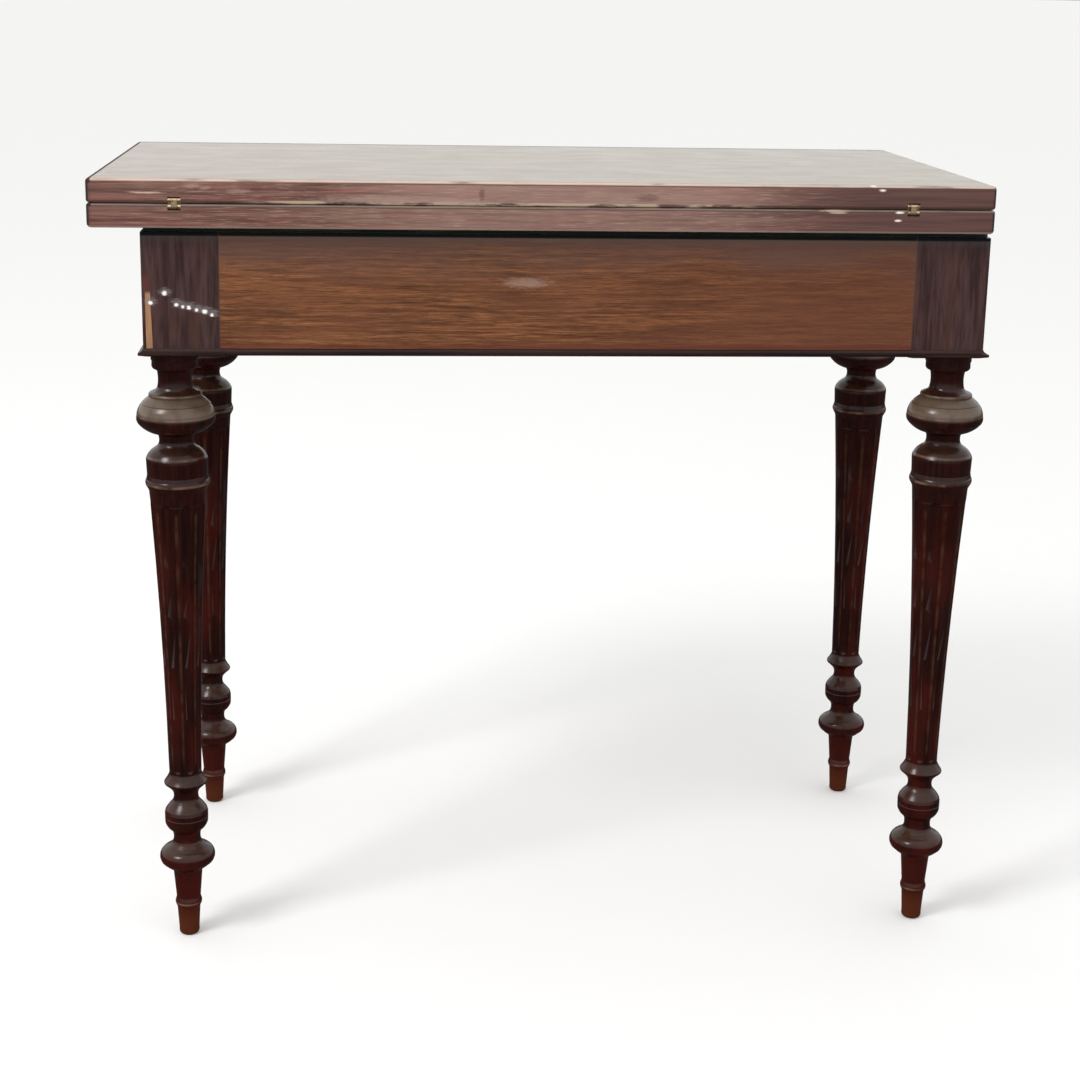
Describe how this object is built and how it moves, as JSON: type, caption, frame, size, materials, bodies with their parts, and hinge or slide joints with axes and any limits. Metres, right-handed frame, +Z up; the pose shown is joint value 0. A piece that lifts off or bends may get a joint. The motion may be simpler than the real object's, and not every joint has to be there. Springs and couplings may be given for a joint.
{
  "type": "folding card table",
  "caption": "Card table whose folded double-leaf top swivels a quarter turn and unfolds to a baize-lined square over a shallow frame on turned, fluted legs.",
  "frame": {"origin": "on the floor, under the centre of the outline of the closed table", "axes": "+X along the long side, to the right as seen from the hinged edge; +Y from the hinged edge to the back; +Z up"},
  "size_m": [0.8538, 0.42, 0.762],
  "materials": {
    "leaf_wood": "French-polished, worn",
    "apron_veneer": "satin polished veneer",
    "post_wood": "dark polish",
    "moulding_wood": "dark polish",
    "leg_wood": "dark red-brown gloss polish",
    "frame_wood": "bare oak, planed",
    "baize": "napped wool cloth",
    "glide_cloth": "felted wool",
    "lining_cloth": "plain wool cloth",
    "hinge_brass": "dull, worn",
    "pivot_iron": "blackened",
    "fastener_steel": "dull"
  },
  "bodies": {
    "base": {"leg_front_left": "leg_wood", "leg_front_right": "leg_wood", "leg_back_left": "leg_wood", "leg_back_right": "leg_wood", "cap_front_left": "moulding_wood", "cap_front_right": "moulding_wood", "cap_back_left": "moulding_wood", "cap_back_right": "moulding_wood", "post_front_left": "post_wood", "post_front_right": "post_wood", "post_back_left": "post_wood", "post_back_right": "post_wood", "rail_front": "frame_wood", "rail_back": "frame_wood", "rail_left": "frame_wood", "rail_right": "frame_wood", "veneer_front": "apron_veneer", "veneer_back": "apron_veneer", "veneer_left": "apron_veneer", "veneer_right": "apron_veneer", "bead_front": "moulding_wood", "bead_back": "moulding_wood", "bead_left": "moulding_wood", "bead_right": "moulding_wood", "glide_front": "glide_cloth", "glide_back": "glide_cloth", "glide_left": "glide_cloth", "glide_right": "glide_cloth", "pivot_rail": "frame_wood", "bearing_plate": "pivot_iron", "bearing_plate_screws": "fastener_steel", "thrust_washer": "hinge_brass", "well_partition": "frame_wood", "well_floor": "frame_wood", "well_lining": "lining_cloth", "floor_batten_front": "frame_wood", "floor_batten_back": "frame_wood", "floor_batten_end": "frame_wood"},
    "lower_top": {"lower_leaf": "leaf_wood", "baize_lower": "baize", "pivot_plate": "pivot_iron", "pivot_plate_screws": "fastener_steel", "pivot_stud": "fastener_steel", "lower_washer": "fastener_steel", "pivot_nut": "fastener_steel", "stop_block": "frame_wood", "hinge_plate_lower_left": "hinge_brass", "hinge_plate_lower_right": "hinge_brass", "hinge_pins_lower": "hinge_brass", "hinge_screws_lower": "hinge_brass"},
    "hinge_links": {"hinge_link_left": "hinge_brass", "hinge_link_right": "hinge_brass"},
    "upper_top": {"upper_leaf": "leaf_wood", "baize_upper": "baize", "hinge_plate_upper_left": "hinge_brass", "hinge_plate_upper_right": "hinge_brass", "hinge_pins_upper": "hinge_brass", "hinge_screws_upper": "hinge_brass"}
  },
  "joints": [
    {"name": "swivel", "type": "hinge", "parent": "base", "child": "lower_top", "pos_m": [-0.0966, -0.0931, 0.7117], "axis": [0, 0, 1], "range_deg": [0, 90]},
    {"name": "fold_at_lower_pin", "type": "hinge", "parent": "lower_top", "child": "hinge_links", "pos_m": [-0.0035, -0.2072, 0.7366], "axis": [1, 0, 0], "range_deg": [0, 90]},
    {"name": "fold_at_upper_pin", "type": "hinge", "parent": "hinge_links", "child": "upper_top", "pos_m": [-0.0035, -0.2072, 0.7426], "axis": [1, 0, 0], "range_deg": [0, 90]}
  ]
}
